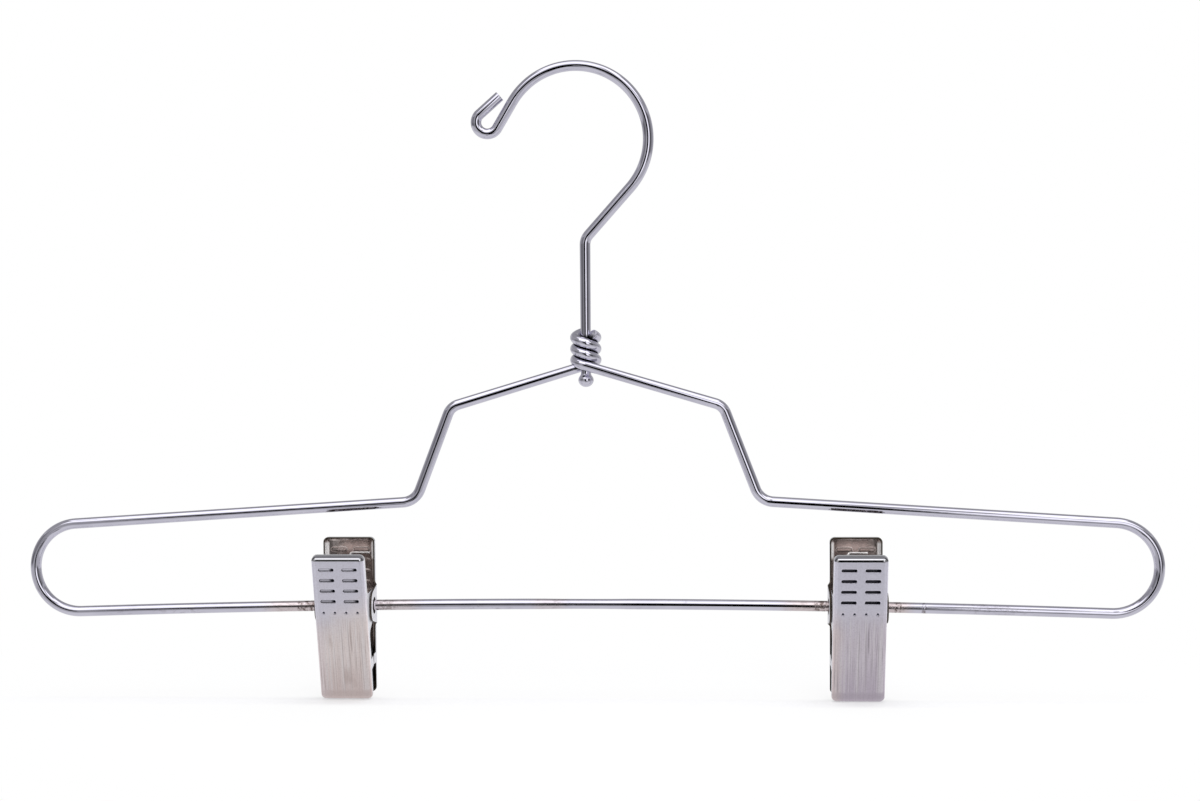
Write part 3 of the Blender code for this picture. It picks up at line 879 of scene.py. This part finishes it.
def makeSpring(name, pivot, shift):
    # coil: (x, r cos a, r sin a) with a falling and x growing evenly; all turned by half the tilt
    p = springShape
    lean = plateShape["tilt"] / 2
    away = p["stand"] * cos(lean) + p["legHeight"] * sin(lean)
    up = -p["stand"] * sin(lean) + p["legHeight"] * cos(lean)
    start = atan2(up, away) - acos(p["radius"] / hypot(away, up))
    sweep = -(pi + 2 * start) - 2 * pi * p["turns"]
    left = p["left"] + shift
    right = left - sweep / (2 * pi) * p["pitch"]
    t = np.linspace(0, 1, p["coilSteps"])
    a = start + sweep * t
    coil = np.stack([left + (right - left) * t, p["radius"] * np.cos(a), p["radius"] * np.sin(a)], 1)
    bends = [0, p["legBend"], 0], [0, 12, 0]
    back = rounded([(left + p["leg"], away, up), (left, away, up), coil[0]], *bends)
    front = rounded([coil[-1], (right, -away, up), (right - p["leg"], -away, up)], *bends)
    x, y, z = np.concatenate([back[:-1], coil, front[1:]]).T
    path = np.stack([x, y * cos(lean) - z * sin(lean), y * sin(lean) + z * cos(lean)], 1) + pivot
    radii = np.full(len(path), p["wire"] / 2)
    return drawnWire(name, path, radii, p["sides"], p["rim"], p["rim"])


# Satin nickel sheet: drawn lines on the jaws, a polished lip, and a mirror lining
satinLook = dict(
    handle=(0.83, 0.815, 0.925),
    light=(1.0, 0.96, 0.98),
    stain=(0.45, 0.34, 0.30),
    # painted shade in the grooves and in the dimples
    groove=(0.006, 0.006, 0.010),
    dimple=(0.07, 0.07, 0.10),
    wall=(0.86, 0.855, 0.90),
    lip=(0.88, 0.88, 0.92),
    # a painted dark reflection on the rolled lip
    paintedLipReflection=(0.10, 0.095, 0.11),
    cut=(0.09, 0.075, 0.055),
    inside=(1.0, 0.885, 0.85),
    hollow=(0.74, 0.635, 0.605),
    # painted shade inside, and a painted highlight in the rolled sides
    deep=(0.10, 0.075, 0.065),
    glint=(1.0, 0.985, 0.98),
    # roughness of the satin face, the walls, the lip, the lining and the cut rim
    satin=0.32,
    plain=0.40,
    mirror=0.08,
    lining=0.13,
    rim=0.35,
    relief=0.03 * mm,
    cloud=(130.0, 3.0),
    speck=(1900.0, 3.0, 0.6),
    # drawn noises: stretch across, inwards and up the plate, scale, detail and roughness
    broad=((1.0, 0.0, 0.026), 700.0, 3.0, 0.55),
    fine=((1.0, 0.0, 0.014), 2300.0, 2.0, 0.5),
    hair=((1.0, 0.0, 0.028), 1700.0, 1.0, 0.4),
    blotch=((1.0, 1.0, 0.3), 210.0, 3.0, 0.55),
)
# soft edges of the finishes, each from none to full, in mm
satinEdges = dict(
    # depth from the outer face
    satin=(1.50, 1.10),
    wall=(0.30, 1.20),
    # the painted dark reflection on the rolled lip, and its painted dark line at the front
    paintedLipNear=(0.40, 0.62),
    paintedLipFar=(2.5, 2.1),
    paintedLipPale=(0.9, 1.3),
    paintedLipLine=(0.20, 0.08),
    # height above the bar
    jaw=(1.0, -3.0),
    # the painted reflection on the jaw, and the painted shade towards the tip and in the tip's edge band
    paintedJawReflection=(9.0, -11.0),
    paintedTipShade=(-14.0, -30.0),
    paintedTipBand=(-29.8, -31.6),
    handle=(3.6, 4.4),
    # height from the handle's edge
    lip=(-1.7, -1.55),
    lowRows=(-6.5, -7.5),
    # the painted highlight inside, and the painted shade inside towards the spring
    glintTop=(-1.6, -2.8),
    glintLow=(-9.5, -7.5),
    paintedShadeLow=(-4.6, -7.0),
    # place across the plate, or from its middle line
    # the painted reflection on the face's left side
    paintedSideReflection=(-5.0, -9.5),
    # the painted highlight in the rolled sides inside, and the painted shade beside it
    glintSide=(7.9, 8.6),
    paintedShadeSide=(6.4, 7.6),
    # place across a groove, from its middle, for the painted light on its floor
    paintedLightEnd=(2.1, 0.7),
)


def satinSurface(name, side, tilt, pivot, high, clip):
    s = Surface(name)
    look, shape = satinLook, plateShape
    settings = {"vector_type": "TEXTURE"}
    values = {"Vector": s.place(), "Location": pivot, "Rotation": (tilt, 0, 0)}
    place = s.node("ShaderNodeMapping", settings, values)
    across, inwards, up = s.axes(place)
    depth = shape["stand"] - side * inwards
    fromEdge = up - high
    flat, dip, layer = s.point("flatFace"), s.point("pressed"), s.point("layer")
    cloud = s.noise(place, *look["cloud"])
    speck = s.noise(place, *look["speck"])
    broad, fine, hair, blotch = (
        s.drawnNoise(place, *look[key]) for key in ("broad", "fine", "hair", "blotch")
    )

    def soft(value, key):
        return s.step(value, satinEdges[key][0] * mm, satinEdges[key][1] * mm)

    def ragged(value, reach):
        return value + reach * mm * (cloud - 0.5)

    # where each finish lies: satin face, polished lip at the handle's edge, walls, inside, cut rim
    outside = s.step(layer, 0.3, 0.1)
    inside = s.step(layer, 0.7, 0.9)
    lip = soft(fromEdge, "lip")
    # a painted dark reflection on the rolled lip, and a painted dark line at its front
    paintedLipReflection = lip * soft(depth, "paintedLipNear") * soft(depth, "paintedLipFar")
    paintedLipReflection = paintedLipReflection.most(lip * soft(depth, "paintedLipLine") * 0.6)
    satin = outside * soft(depth, "satin") * (1.0 - lip)
    wall = outside * soft(depth, "wall") * (1.0 - lip)
    face = outside * s.step(flat, 0.3, 0.9)
    handle = soft(up, "handle")
    # satin face: painted reflection tints on the jaw and its left side, painted shade towards the tip and at
    # its edge, with the drawn lines and stains of the jaw
    paintedTipBand = soft(up, "paintedTipBand")
    drawn = satin * soft(up, "jaw") * (1.0 - 0.75 * paintedTipBand)
    shift = soft(ragged(up - clip["slant"] * across, 9), "paintedJawReflection")
    colour = s.tinted(
        s.mix(shift, look["handle"], clip["jaw"]),
        (soft(ragged(up, 5), "paintedTipShade"), clip["tip"]),
        (shift * soft(ragged(across, 2), "paintedSideReflection") * 0.6, clip["side"]),
        (drawn * s.step(broad, 0.46, 0.68) * 0.5, look["light"]),
        (drawn * s.step(fine, 0.48, 0.74) * 0.5, clip["line"]),
        (drawn * s.step(hair, 0.62, 0.74) * 0.55, clip["line"]),
        (drawn * s.step(blotch, 0.58, 0.78) * 0.4 * clip["clear"], look["stain"]),
        (satin * paintedTipBand * 0.25, clip["line"]),
        (satin * s.step(speck, 0.42, 0.75) * 0.2, clip["line"]),
    )
    # grooves: painted shade on the walls, and a floor with painted light that grows towards one end
    local = across - shape["column"] * across.sign()
    floor = s.step(dip, 0.78, 0.96) * soft(ragged(local, 1.2), "paintedLightEnd") * clip["clear"]
    groove = handle * s.step(dip, 0.06, 0.28) * (1.0 - (0.8 - 0.25 * soft(fromEdge, "lowRows")) * floor)
    # dimples: painted shade
    dimple = (1.0 - handle) * s.step(dip, 0.15, 0.6)
    colour = s.tinted(colour, (groove, look["groove"]), (dimple, look["dimple"]))
    finish = s.mix(lip, look["wall"], look["lip"])
    # the lip's painted dark reflection, paler further round the roll
    finish = s.mix(paintedLipReflection * (0.9 - 0.4 * soft(depth, "paintedLipPale")), finish, look["paintedLipReflection"])
    # inside: painted shade towards the spring, at the ribs' edges and near the sides, and a painted
    # highlight in the rolled sides
    glint = soft(across.size(), "glintSide") * soft(fromEdge, "glintTop") * soft(fromEdge, "glintLow")
    rib = s.step(dip, 0.03, 0.25) * s.step(dip, 0.98, 0.75)
    deep = soft(ragged(fromEdge, 2), "paintedShadeLow") * 0.6
    deep = deep.most(rib * 0.85).most(soft(across.size(), "paintedShadeSide") * 0.6)
    lining = s.mix(s.step(cloud, 0.35, 0.65), look["hollow"], look["inside"])
    lining = s.tinted(lining, (deep * (1.0 - glint), look["deep"]), (glint, look["glint"]))
    colour = s.mix(outside, look["cut"], s.mix(satin, finish, colour))
    colour = s.mix(inside, colour, lining)
    rough = satin * (look["satin"] - 0.15 * dip) + outside * (1.0 - satin) * (1.0 - lip) * look["plain"]
    rough = rough + outside * lip * look["mirror"] + inside * look["lining"] + 0.10 * drawn * fine
    rough = rough + look["rim"] * (1.0 - outside) * (1.0 - inside)
    metal = 1.0 - 0.7 * wall - inside * (0.12 + 0.85 * glint)
    height = drawn * (broad * 0.5 + fine * 0.6) + speck * 0.16 * face + cloud * 0.25
    return s.finish(colour, rough, metal, s.bump(height, look["relief"]))


rubberLook = dict(
    black=(0.010, 0.010, 0.011),
    dust=(0.030, 0.029, 0.030),
    rough=0.42,
    relief=0.04 * mm,
    grain=(2600.0, 4.0, 0.7),
    cloud=(160.0, 2.0),
)


def rubberSurface():
    s = Surface("grip_pad")
    look = rubberLook
    place = s.place()
    grain = s.noise(place, *look["grain"])
    dust = s.step(s.noise(place, *look["cloud"]) * 0.6 + grain * 0.4, 0.5, 0.75)
    colour = s.mix(dust, look["black"], look["dust"])
    return s.finish(colour, look["rough"] + 0.25 * dust, 0.0, s.bump(grain, look["relief"]))


springLook = dict(
    dark=(0.84, 0.81, 0.79),
    light=(0.95, 0.93, 0.93),
    rough=0.16,
    relief=0.02 * mm,
    drawn=((90.0, 20.0, 1.0), 3.0, 4.0, 0.7),
    cloud=(260.0, 3.0),
)


def springSurface():
    s = Surface("spring_wire")
    look = springLook
    drawn = s.drawnNoise(s.node("ShaderNodeUVMap", {"uv_map": "along"}), *look["drawn"])
    cloud = s.noise(s.place(), *look["cloud"])
    colour = s.mix(s.step(cloud, 0.35, 0.7), look["dark"], look["light"])
    return s.finish(colour, look["rough"] + 0.12 * drawn, 1.0, s.bump(drawn, look["relief"]))


# The two clips: place and spring, how strong the painted light on the grooves' floors and the stains are,
# how far the jaw's painted reflection tint runs aslant, the painted reflection tints of the jaw and its
# side, the painted shade of its tip, and the tint of the drawn lines, which also paints the shade at the
# tip's edge
clips = dict(
    left=dict(
        x=-93.0 * mm,
        springShift=3.2 * mm,
        clear=1.0,
        slant=0.6,
        jaw=(1.0, 0.90, 0.88),
        tip=(0.82, 0.70, 0.68),
        side=(0.90, 0.80, 0.84),
        line=(0.47, 0.37, 0.35),
    ),
    right=dict(
        x=102.2 * mm,
        springShift=0.0,
        clear=0.05,
        slant=0.1,
        jaw=(0.82, 0.75, 0.83),
        tip=(0.68, 0.605, 0.70),
        side=(0.90, 0.76, 0.71),
        line=(0.34, 0.29, 0.33),
    ),
)
rubber = rubberSurface()
springSteel = springSurface()
for side, clip in clips.items():
    pivot = np.array([clip["x"], 0.0, float(barLevel(clip["x"]))])
    for part, way, tilt, high, body, wide in (
        ("back", 1, 0.0, plateShape["backTop"], side + "_clip", True),
        ("front", -1, plateShape["tilt"], plateShape["frontTop"], side + "_jaw", False),
    ):
        name = side + part.capitalize()
        satin = satinSurface(name + "_satin", way, tilt, tuple(pivot), high, clip)
        mesh = makePlate(name + "Plate", way, pivot, tilt, high, wide)
        addPiece(name + "Plate", mesh, satin, f"{side}_{part}_plate", body)
        mesh = makePad(name + "Pad", way, pivot, tilt)
        addPiece(name + "Pad", mesh, rubber, f"{side}_{part}_pad", body)
    mesh = makeSpring(side + "Spring", pivot, clip["springShift"])
    spring = addPiece(side + "Spring", mesh, springSteel, side + "_spring")
    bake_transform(spring)
    print("stage:", side, "clip")

# Studio
studio = dict(
    # each lamp's power, size, place and aim
    topBox=(5.0, 0.7, (0.1, -0.25, 0.95), (0, 0, -0.15)),
    frontBox=(3.0, 0.5, (0.45, -1.0, 0.25), (0, 0, -0.12)),
    floorSize=12.0,
    floorGap=0.2 * mm,
    floorColour=(0.93, 0.93, 0.94),
    # the lit part of the floor, and the deeper shade under the clips, from none to full
    lit=(0.32, 0.14),
    feet=(9.0 * mm, 3.0 * mm),
    feetLine=-4.0 * mm,
    shade=0.14,
    feetShade=0.56,
    plainLight=(0.75, 0.75, 0.76),
)
# What metal mirrors: patches laid over each other, each with its turn, height and level. A turn is
# the angle from the front in radians, and a height the direction's own Z. Two numbers run from
# none to full, with a turn's sign left out; three are low, high and softness; none is all the way.
mirrored = dict(
    base=0.22,
    room=(
        ((1.2, 1.8), (), 0.38),
        ((0.85, 0.65), (), 0.45),
        ((2.0, 2.35), (), 0.55),
        ((0.45, 0.60), (-0.60, -0.10, 0.04), 0.52),
        ((0.64, 1.05, 0.03), (-0.17, 0.40, 0.04), 0.08),
        ((-1.50, -0.92, 0.03), (-0.07, 0.07, 0.03), 0.14),
        ((-0.92, -0.34, 0.03), (-0.07, 0.08, 0.03), 0.26),
        ((-0.20, -0.06, 0.03), (-0.62, -0.48, 0.03), 0.10),
    ),
    # the white table in front and behind, with a gap
    table=0.71,
    tableFront=((), (-0.42, -0.50)),
    tableRear=((1.4, 1.75), (-0.08, -0.16)),
    tableGap=((-0.20, -0.06, 0.03), (-0.66, -0.60)),
    # thin black lines of the camera's stand and the table's edge, one of them rising
    lines=(
        ((-0.34, 0.13, 0.02), (-0.09, 0.27, 0.03), 0.0),
        ((-0.07, 0.13, 0.02), (-0.46, 0.36, 0.03), 0.0),
    ),
    rising=(((-0.28, -0.04, 0.02), (-0.15, -0.04, 0.02), 0.0),),
    rise=0.38,
    # a low wing to the right, then the soft box above, with a seam
    wing=(
        ((0.12, 0.46, 0.03), (-0.58, -0.42, 0.04), 0.22),
        ((0.16, 0.50, 0.02), (-0.12, 0.38, 0.04), 1.3),
        ((), (0.38, 0.46), 0.55),
        ((), (0.44, 0.50), 0.36),
    ),
    box=1.5,
    boxFront=((-0.80, 1.0, 0.04), (0.52, 0.90, 0.03)),
    seamAcross=(0.135, 0.235, 0.02),
    seamHeight=(0.80, 0.72),
    top=(
        ((1.75, 1.45), (0.86, 0.975, 0.02), 1.5),
        ((), (0.955, 0.99), 0.85),
    ),
)


def addFloor(surface):
    half = studio["floorSize"] / 2
    z = cadBox[0][2] - studio["floorGap"]
    mesh = bpy.data.meshes.new("floor")
    corners = [(x * half, y * half, z) for x, y in ((-1, -1), (1, -1), (1, 1), (-1, 1))]
    mesh.from_pydata(corners, [], [(0, 1, 2, 3)])
    mesh.materials.append(surface)
    floor = addObject("floor", mesh)
    floor.visible_glossy = False  # what metal mirrors below it is in the world


def floorSurface():
    # lit where it is near the hanger, so that it keeps the shadow, and plain white further out
    s = Surface("studio_floor")
    x, y, _ = s.axes(s.place())
    seen = s.node("ShaderNodeLightPath", output="Is Camera Ray")
    feet = s.step((y - studio["feetLine"]).size(), *studio["feet"])
    near = s.step((x * x + y * y * 4.0).root(), *studio["lit"])
    share = seen * (1.0 - near * (studio["shade"] + studio["feetShade"] * feet))
    lit = s.node("ShaderNodeBsdfDiffuse", {}, {"Color": studio["floorColour"]})
    glow = s.node("ShaderNodeEmission", {}, {"Color": (1.0, 1.0, 1.0)})
    mixed = s.node("ShaderNodeMixShader", {}, {0: share, 1: lit, 2: glow})
    s.node("ShaderNodeOutputMaterial", {}, {"Surface": mixed})
    return s.owner


def studioWorld():
    # white to the camera, the mirrored room to what shines, and plain light to the rest
    world = bpy.data.worlds.new("studio")
    bpy.context.scene.world = world
    s = Surface("studio", world)
    m = mirrored
    x, y, z = s.axes(s.place("Generated"))
    seen = s.node("ShaderNodeLightPath", output="Is Camera Ray")
    glossy = s.node("ShaderNodeLightPath", output="Is Glossy Ray")
    azimuth = s.node("ShaderNodeMath", {"operation": "ARCTAN2"}, {0: x, 1: 0.0 - y})
    turn = azimuth.size()

    def zone(value, edges):
        return s.band(value, *edges) if len(edges) == 3 else s.step(value, *edges)

    def share(turns, heights, height=z):
        # how much of a patch lies in a direction, from 0 to 1
        if not turns:
            return zone(height, heights)
        across = zone(azimuth if len(turns) == 3 else turn, turns)
        return across * zone(height, heights) if heights else across

    def toward(level, mask, goal):
        return level + (goal - level) * mask

    def patched(level, patches, height=z):
        for turns, heights, goal in patches:
            level = toward(level, share(turns, heights, height), goal)
        return level

    level = patched(m["base"], m["room"])
    below = share(*m["tableFront"]).most(share(*m["tableRear"]))
    level = toward(level, below * (1.0 - share(*m["tableGap"])), m["table"])
    level = patched(patched(level, m["lines"]), m["rising"], z - azimuth * m["rise"])
    level = patched(level, m["wing"])
    box = 1.0 - zone(x, m["seamAcross"]) * zone(z, m["seamHeight"])
    level = toward(level, box * share(*m["boxFront"]), m["box"])
    level = patched(level, m["top"])
    white = s.node("ShaderNodeCombineColor", {}, {0: level, 1: level, 2: level * 1.01})
    plain = s.mix(glossy, studio["plainLight"], white)
    colour = s.mix(seen, plain, (1.0, 1.0, 1.0))
    shader = s.node("ShaderNodeBackground", {}, {"Color": colour, "Strength": 1.0})
    s.node("ShaderNodeOutputWorld", {}, {"Surface": shader})


def addLamp(name):
    power, size, place, aim = studio[name]
    lamp = bpy.data.lights.new(name, "AREA")
    lamp.shape = "SQUARE"
    lamp.size = size
    lamp.energy = power
    made = addObject(name, lamp)
    made.location = place
    made.rotation_euler = (Vector(aim) - Vector(place)).to_track_quat("-Z", "Y").to_euler()
    made.visible_glossy = False


# Camera: fitted to the photograph's straight wires
view = dict(
    yaw=radians(3.297),
    pitch=radians(2.5),
    roll=radians(-0.415),
    distance=0.66,
    target=(0.00524, 0.0, -0.12396),
    focalPixels=1742.6,
    photoWidth=1200,
    sensor=36.0,
    farthest=50.0,
)


def addCamera():
    yaw, pitch, roll = view["yaw"], view["pitch"], view["roll"]
    ahead = Vector((-sin(yaw) * cos(pitch), cos(yaw) * cos(pitch), -sin(pitch)))
    level = Vector((cos(yaw), sin(yaw), 0))
    above = level.cross(ahead)
    right, up = cos(roll) * level + sin(roll) * above, cos(roll) * above - sin(roll) * level
    data = bpy.data.cameras.new("camera")
    data.sensor_width = view["sensor"]
    data.lens = view["focalPixels"] / view["photoWidth"] * view["sensor"]
    data.clip_end = view["farthest"]
    camera = addObject("camera", data)
    place = Matrix.Translation(Vector(view["target"]) - ahead * view["distance"])
    camera.matrix_world = place @ Matrix((right, up, -ahead)).transposed().to_4x4()
    bpy.context.scene.camera = camera


addFloor(floorSurface())
studioWorld()
addLamp("topBox")
addLamp("frontBox")
addCamera()
bpy.context.scene.view_settings.view_transform = "Standard"
print("stage: studio")
